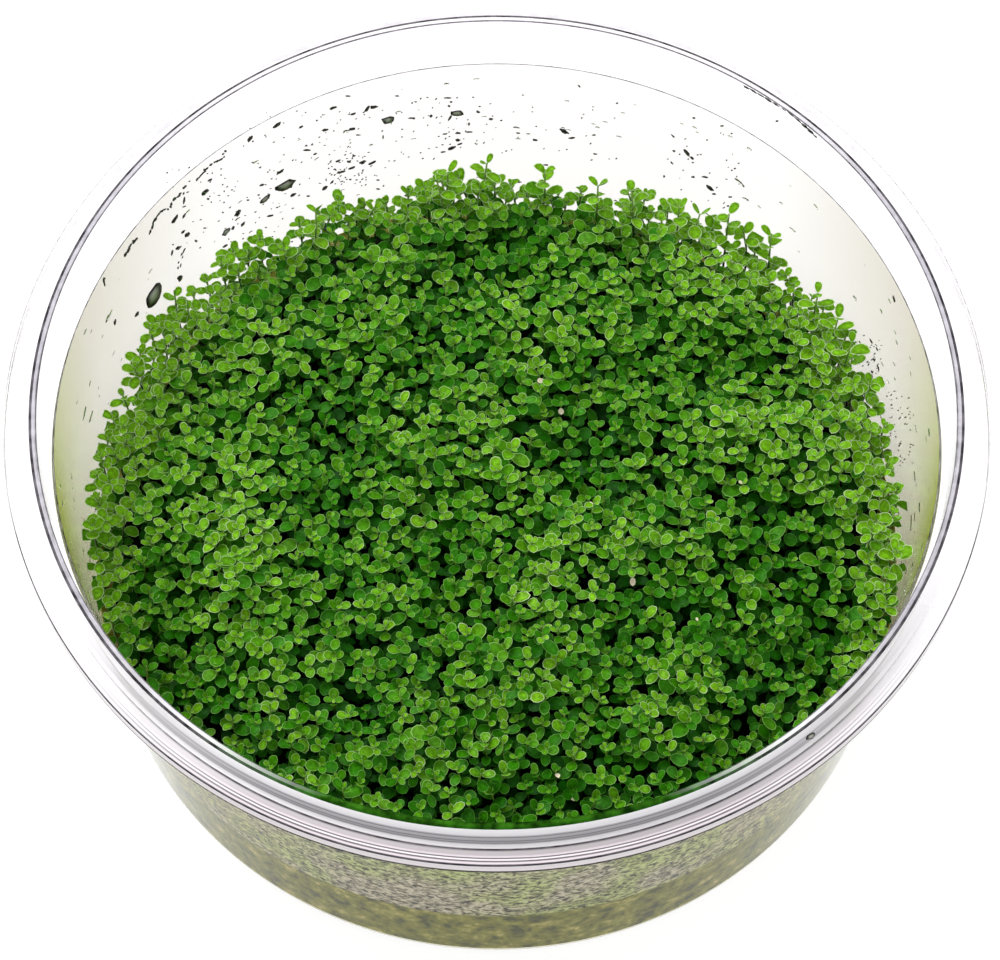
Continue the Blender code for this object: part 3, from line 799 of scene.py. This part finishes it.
def sprig(foot, tip, vigour, tone, tall, rng):
    """One shoot: rows for its leaves, each a place, a frame and a shape, and its stem's path."""
    length = np.linalg.norm(tip - foot)
    drops = np.array(TALL_PAIR_DROPS if tall else PAIR_DROPS) * MM * vigour
    kept = drops < length - BARE_FOOT
    drops = drops[kept]
    count = len(drops)
    bow = np.append(rng.normal(0, STEM_BOW, 2), 0.0)
    points, headings = stem_path(foot, tip, bow, 1 - drops / length)
    turn = rng.uniform(0, tau) + np.arange(count) * tau / 4
    turn = turn + rng.normal(0, LEAF_TURN_SPREAD, count)
    lengths = np.array(TALL_LEAF_LENGTHS if tall else LEAF_LENGTHS)[kept] * MM * vigour
    rises = np.radians(np.array(TALL_LEAF_RISES if tall else LEAF_RISES)[kept])
    tints = np.array(LEAF_TINTS)[kept]
    rows = []
    for i in range(count):
        side, fore = around(headings[i])
        for opposite in (0, tau / 2):
            angle = turn[i] + opposite
            out = side * np.cos(angle) + fore * np.sin(angle)
            rise = rises[i] + rng.normal(0, LEAF_RISE_SPREAD)
            along = out * np.cos(rise) + headings[i] * np.sin(rise)
            up = headings[i] * np.cos(rise) - out * np.sin(rise)
            size = lengths[i] * rng.normal(1.0, LEAF_SIZE_SPREAD)
            rows.append((
                *(points[i] + along * LEAF_SEAT), *along, *np.cross(up, along), *up,
                size, size * rng.uniform(*LEAF_WIDTHS), rng.uniform(*LEAF_FOLDS),
                rng.uniform(*LEAF_BENDS),
                np.clip(tints[i] + tone + rng.normal(0, LEAF_TINT_SPREAD), 0, 1)))
    return rows[:2 * UPPER_PAIRS], rows[2 * UPPER_PAIRS:], (foot, tip, bow)


def leaves_from(rows, form):
    """All leaves of one kind as one set of points, faces, and rim and age values."""
    points, faces, share = form
    rows = np.array(rows)
    place, along, side, up = rows[:, 0:3], rows[:, 3:6], rows[:, 6:9], rows[:, 9:12]
    length, width, fold, bend, tint = (rows[:, i][:, None] for i in range(12, 17))
    x = points[None, :, 0] * length
    y = points[None, :, 1] * width
    z = points[None, :, 2] * length + fold * np.abs(y) + bend * points[None, :, 0] ** 2 * length
    made = (place[:, None, :] + along[:, None, :] * x[..., None]
            + side[:, None, :] * y[..., None] + up[:, None, :] * z[..., None])
    shift = (np.arange(len(rows)) * len(points))[:, None, None]
    values = np.empty((len(rows), len(points), 2))
    values[..., 0] = share
    values[..., 1] = tint
    return made.reshape(-1, 3), (faces[None] + shift).reshape(-1, 3), values.reshape(-1, 2)


def stem_from(foot, tip, bow):
    """A thin round stem along its path, closed at both ends."""
    shares = np.linspace(0, 1, STEM_RINGS)
    path, headings = stem_path(foot, tip, bow, shares)
    radii = (STEM_RADIUS - STEM_TAPER * shares) * MM
    angles = round_angles(STEM_SIDES)
    points = []
    for point, heading, radius in zip(path, headings, radii):
        side, fore = around(heading)
        points += [point + (side * cos(a) + fore * sin(a)) * radius for a in angles]
    points = np.array(points + [path[0], path[-1]])
    faces = ringed(STEM_RINGS, STEM_SIDES, len(points) - 2, len(points) - 1)
    ages = np.append(np.repeat(shares, STEM_SIDES), (0.0, 1.0))
    return points, faces, np.column_stack((np.zeros(len(ages)), ages))


def camera_frame():
    """The camera's place, and its right, up and forward directions."""
    place = VIEW_AIM + Vector((0, -cos(VIEW_ELEVATION), sin(VIEW_ELEVATION))) * VIEW_DISTANCE
    forward = (VIEW_AIM - place).normalized()
    right = Vector((1, 0, 0))
    return place, right, right.cross(forward), forward


def picture_ray(x, y):
    """The camera's place, and the line of sight from it through a place in the picture."""
    place, right, up, forward = camera_frame()
    ray = forward + right * (x - PICTURE_SIZE[0] / 2) / PIXELS
    return place, ray + up * (PICTURE_SIZE[1] / 2 - y) / PIXELS


def spot_in_picture(x, y, height):
    """The point at a height that shows at a place in the picture."""
    place, ray = picture_ray(x, y)
    return place + ray * ((height - place.z) / ray.z)


def spot_on_cone(x, y, cone, far):
    """The point of a cone, on its far side or near side, 1 or -1, that shows at a place there."""
    place, ray = picture_ray(x, y)
    low_radius, low, high_radius, high = (size * MM for size in cone)
    slope = (high_radius - low_radius) / (high - low)
    radius = low_radius + (place.z - low) * slope
    a = ray.x ** 2 + ray.y ** 2 - (slope * ray.z) ** 2
    b = place.x * ray.x + place.y * ray.y - slope * ray.z * radius
    c = place.x ** 2 + place.y ** 2 - radius ** 2
    return place + ray * ((-b + far * sqrt(b * b - a * c)) / a)


def mound(x, y):
    """How far the carpet swells or sinks at a place, from -1 to 1."""
    return noise.noise(Vector((x, y, 0)) / MOUND_WIDTH + MOUND_PATCH) * MOUND_GAIN


def carpet_height(x, y, rng):
    """Height of the sprigs' tips: a low dome with soft mounds, uneven from tip to tip."""
    share = min(hypot(x, y) / CARPET_RADIUS, 1.0)
    return (CARPET_TOP - CARPET_EDGE_DROP * share ** CARPET_EDGE_POWER + MOUND_HEIGHT * mound(x, y)
            + rng.normal(0, SPRIG_UNEVENNESS))


def sprig_spots(rng):
    """Places for the sprigs' tips, spread evenly but not in rows."""
    spots = np.empty((0, 2))
    for _ in range(SPRIG_TRIES):
        bearing = rng.uniform(0, tau)
        radius = CARPET_RADIUS * sqrt(rng.uniform(0, 1))
        spot = np.array((radius * cos(bearing), radius * sin(bearing)))
        if radius > CARPET_RADIUS - FAR_STANDOFF * max(sin(bearing), 0) ** 4:
            continue
        if len(spots) and np.min(np.sum((spots - spot) ** 2, axis=1)) < SPRIG_SPACING ** 2:
            continue
        spots = np.vstack((spots, spot))
    return spots


def died_back(upper):
    """Bleaches the topmost leaf at each place in the picture where one has died."""
    place, right, up, forward = (np.array(part) for part in camera_frame())
    rows = [(name, number) for name in upper for number in range(len(upper[name]))]
    centres = np.array([upper[name][number][:3] for name, number in rows]) - place
    depth = centres @ forward
    across = PICTURE_SIZE[0] / 2 + PIXELS * (centres @ right) / depth
    down = PICTURE_SIZE[1] / 2 - PIXELS * (centres @ up) / depth
    for x, y in DEAD_LEAVES:
        apart = np.hypot(across - x, down - y) + DEAD_LEAF_DEPTH_WEIGHT * depth
        name, number = rows[int(np.argmin(apart))]
        row = list(upper[name][number])
        row[12:14] = row[12] * DEAD_LEAF_SIZE, row[13] * DEAD_LEAF_SIZE
        row[16] = DEAD_LEAF_AGE
        upper[name][number] = tuple(row)


def plants():
    """The sprigs of every plant, each gathered into the piece that stands for its node."""
    rng = np.random.default_rng(SEED)
    names = sorted(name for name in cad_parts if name.startswith("plant_"))
    centres = np.array([tuple((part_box(n)[0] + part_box(n)[1]) / 2)[:2] for n in names])
    tips = [(*spot, carpet_height(*spot, rng)) for spot in sprig_spots(rng)]
    short = len(tips)
    for x, y in TALL_TIPS:
        height = TALL_TIP_HEIGHT - TALL_SIDE_DROP * abs(x - PICTURE_SIZE[0] / 2) / TALL_SIDE_WIDTH
        tips.append(tuple(spot_in_picture(x, y, height)))
    upper, lower, stems = ({n: [] for n in names} for _ in range(3))
    for number, tip in enumerate(np.array(tips)):
        tall = number >= short
        lean = rng.normal(0, SPRIG_LEAN / 2, 2) - (0, TALL_STEM_LEAN * tall)
        # Painted light and shade: tinted by the mounds, paler near the carpet's rim except in
        # front, and on tall sprigs
        tone = MOUND_LIGHT_AND_SHADE * mound(tip[0], tip[1]) + rng.normal(0, SPRIG_TONE_SPREAD)
        radius = hypot(tip[0], tip[1])
        edge = max(0.0, radius / CARPET_RADIUS - EDGE_GLOW_START) / EDGE_GLOW_WIDTH
        tone += EDGE_GLOW * edge * min(1.0, max(0.0, EDGE_GLOW_FRONT + tip[1] / radius))
        foot = np.array((tip[0] + lean[0], tip[1] + lean[1], GEL_TOP - FOOT_DEPTH))
        reach = wall_inner_radius(GEL_TOP) - FOOT_ROOM
        foot[:2] *= min(1.0, reach / np.hypot(foot[0], foot[1]))
        vigour = 1.0 if tall else rng.uniform(*SPRIG_VIGOURS)
        top_rows, low_rows, path = sprig(foot, tip, vigour, tone + TALL_PAINTED_LIGHT * tall, tall, rng)
        name = names[int(np.argmin(np.sum((centres - tip[:2]) ** 2, axis=1)))]
        upper[name] += top_rows
        lower[name] += low_rows
        stems[name].append(path)
    died_back(upper)
    blade, stem = leaf_blade(), leaf_stem()
    upper_form, lower_form = leaf_form(UPPER_LEAF_POINTS), leaf_form(LOWER_LEAF_POINTS)
    for name in names:
        parts = [leaves_from(upper[name], upper_form), leaves_from(lower[name], lower_form)]
        parts += [stem_from(*path) for path in stems[name]]
        points, faces, values = zip(*parts)
        starts = np.cumsum([0, *map(len, points)])
        faces = [part + start for part, start in zip(faces, starts)]
        marks = [np.full(len(part), int(number > 1)) for number, part in enumerate(faces)]
        mesh = mesh_of(name + "_sprigs", wall_pressed(np.vstack(points)), np.vstack(faces),
                       (blade, stem), np.concatenate(marks), np.vstack(values))
        add_piece(name + "_sprigs", mesh, "foliage", name)


def wall_flecks():
    """Specks and smears on the far wall and the lip, each a thin domed patch painted dark as
    shade.
    """
    rng = np.random.default_rng(SEED + 1)
    marks = list(FLECKS)
    for line, width in SMEARS:
        for (ax, ay), (bx, by) in zip(line, line[1:]):
            slant = degrees(atan2(ay - by, bx - ax))
            for share in SMEAR_SHARES:
                marks.append((ax + (bx - ax) * share + rng.normal(0, SMEAR_WANDER),
                              ay + (by - ay) * share + rng.normal(0, SMEAR_WANDER),
                              hypot(bx - ax, by - ay) * rng.uniform(*SMEAR_LENGTHS),
                              width * rng.uniform(*SMEAR_WIDTHS), slant))
    for (x0, y0, x1, y1), count in SPECK_FIELDS:
        for _ in range(count):
            marks.append((rng.uniform(x0, x1), rng.uniform(y0, y1), rng.uniform(*SPECK_LENGTHS),
                          rng.uniform(*SPECK_WIDTHS), rng.uniform(*SPECK_SLANTS)))
    points, faces, values = [], [], []
    angles = round_angles(FLECK_SIDES)
    form_faces = ringed(1, FLECK_SIDES, FLECK_SIDES + 1, FLECK_SIDES)
    spread = [(mark, WALL_INSIDE, 1) for mark in marks]
    spread += [(mark, NECK_INSIDE, 1) for mark in NECK_MARKS]
    spread += [(mark, LIP_SLOPE, -1) for mark in LIP_MARKS]
    for (x, y, length, width, slant), cone, far in spread:
        length, width = length * FLECK_LENGTHENED, width * FLECK_WIDENED
        pale = float(length * width > PALE_FLECK_AREA)
        values += [(FLECK_EDGE, pale)] * FLECK_SIDES + [(0.0, pale)] * 2
        turn = radians(slant)
        spots = []
        for angle, size in zip(angles, rng.uniform(*FLECK_ROUGHNESS, FLECK_SIDES)):
            along, across = cos(angle) * length / 2 * size, sin(angle) * width / 2 * size
            spots.append((x + along * cos(turn) + across * sin(turn),
                          y - along * sin(turn) + across * cos(turn), FLECK_RIM_LIFT))
        faces.append(form_faces + len(points))
        for right, down, lift in spots + [(x, y, FLECK_DOME), (x, y, FLECK_BACK_LIFT)]:
            spot = spot_on_cone(right, down, cone, far)
            points.append(spot + Vector((-spot.x, -spot.y, 0)).normalized() * far * lift)
    mesh = mesh_of("wall_flecks", [tuple(p) for p in points], np.vstack(faces), (painted_shade_fleck(),),
                   rim_and_age=values)
    add_piece("wall_flecks", mesh, "gel")


def drop_form():
    """A bead of water lying on a wall: flat behind, domed in front, one unit across."""
    angles = round_angles(DROP_SIDES)
    ring = np.column_stack((np.cos(angles), np.sin(angles), np.zeros(DROP_SIDES)))
    reach, rise = DROP_SHOULDER
    points = np.vstack((ring, ring * reach + (0, 0, rise), (0, 0, 1), (0, 0, 0)))
    return points, ringed(2, DROP_SIDES, 2 * DROP_SIDES + 1, 2 * DROP_SIDES)


def wall_drops():
    """Condensation on the inside of the wall, in wavy beads that are wider than they are tall."""
    rng = np.random.default_rng(SEED + 2)
    form, form_faces = drop_form()
    points, faces = [], []
    slope = (WALL_INSIDE[2] - WALL_INSIDE[0]) / (WALL_INSIDE[3] - WALL_INSIDE[1])
    for number in range(DROP_COUNT):
        if number % DROP_STRAY_EVERY:
            bearing = radians(rng.normal(DROP_BEARING, DROP_BEARING_SPREAD))
        else:
            bearing = rng.uniform(0, tau)
        height = rng.uniform(*DROP_HEIGHTS) * MM
        wide = rng.lognormal(DROP_WIDTH, DROP_WIDTH_SPREAD) * MM
        tall = wide * rng.uniform(*DROP_FLATNESS)
        deep = rng.uniform(*DROP_DEPTHS) * MM
        out = np.array((cos(bearing), sin(bearing), 0.0))
        side = np.array((-sin(bearing), cos(bearing), 0.0))
        rise = np.array((slope * cos(bearing), slope * sin(bearing), 1.0))
        tilt = rng.normal(0, DROP_TILT_SPREAD)
        across, along = side * cos(tilt) + rise * sin(tilt), rise * cos(tilt) - side * sin(tilt)
        centre = out * (wall_inner_radius(height) - DROP_BEDDING) + (0, 0, height)
        uneven = np.append(np.tile(rng.uniform(*FLECK_ROUGHNESS, len(form) // 2 - 1), 2), (1, 1))
        made = (centre + across * (form[:, :1] * uneven[:, None] * wide)
                + along * (form[:, 1:2] * uneven[:, None] * tall) - out * (form[:, 2:] * deep))
        faces.append(form_faces + len(points) * len(form))
        points.append(made)
    mesh = mesh_of("wall_drops", np.vstack(points), np.vstack(faces)[:, ::-1], (water_drop(),))
    add_piece("wall_drops", mesh, "clear_cup")


def studio():
    """A pale floor, one broad soft light overhead and a paler sky than horizon."""
    bearings = [tau * i / FLOOR_STEPS for i in range(FLOOR_STEPS)]
    ring = [(FLOOR_RADIUS * cos(b), FLOOR_RADIUS * sin(b), 0.0) for b in bearings]
    mesh = bpy.data.meshes.new("floor")
    mesh.from_pydata(ring, [], [tuple(range(FLOOR_STEPS))])
    mesh.materials.append(opal_acrylic())
    floor = in_scene("floor", mesh)
    floor.location.z = -FLOOR_GAP
    light = bpy.data.lights.new("overhead", "AREA")
    light.shape = "DISK"
    light.size = LAMP_SIZE
    light.energy = LAMP_ENERGY
    lamp = in_scene("overhead", light)
    lamp.location = LAMP_PLACE
    lamp.rotation_euler = (-lamp.location).to_track_quat("-Z", "Y").to_euler()
    world = bpy.data.worlds.new("studio")
    bpy.context.scene.world = world
    world.use_nodes = True
    tree = world.node_tree
    tree.nodes.clear()
    place = add_node(tree, "TexCoord").outputs["Generated"]
    parts = add_node(tree, "SeparateXYZ", links={"Vector": place})
    sky = add_node(
        tree, "ValToRGB",
        {"stops": ((0.0, "#a4a4a6"), (0.12, "#a4a4a6"), (0.55, "#f0f0f0"), (1.0, "#ffffff"))},
        {"Fac": parts.outputs["Z"]})
    shade = add_node(tree, "Background", {"Strength": SKY_STRENGTH}, {"Color": sky})
    add_node(tree, "OutputWorld", links={"Surface": shade})


def camera():
    """The camera at the photograph's place and angle."""
    place, _, _, forward = camera_frame()
    data = bpy.data.cameras.new("camera")
    data.lens = VIEW_LENS
    data.sensor_width = SENSOR_WIDTH
    made = in_scene("camera", data)
    made.location = place
    made.rotation_euler = forward.to_track_quat("-Z", "Y").to_euler()
    bpy.context.scene.camera = made


def main():
    """The studio and the camera, and each piece in turn."""
    bpy.context.scene.view_settings.view_transform = "Standard"
    studio()
    camera()
    cup()
    nutrient_gel()
    plants()
    wall_flecks()
    wall_drops()


main()
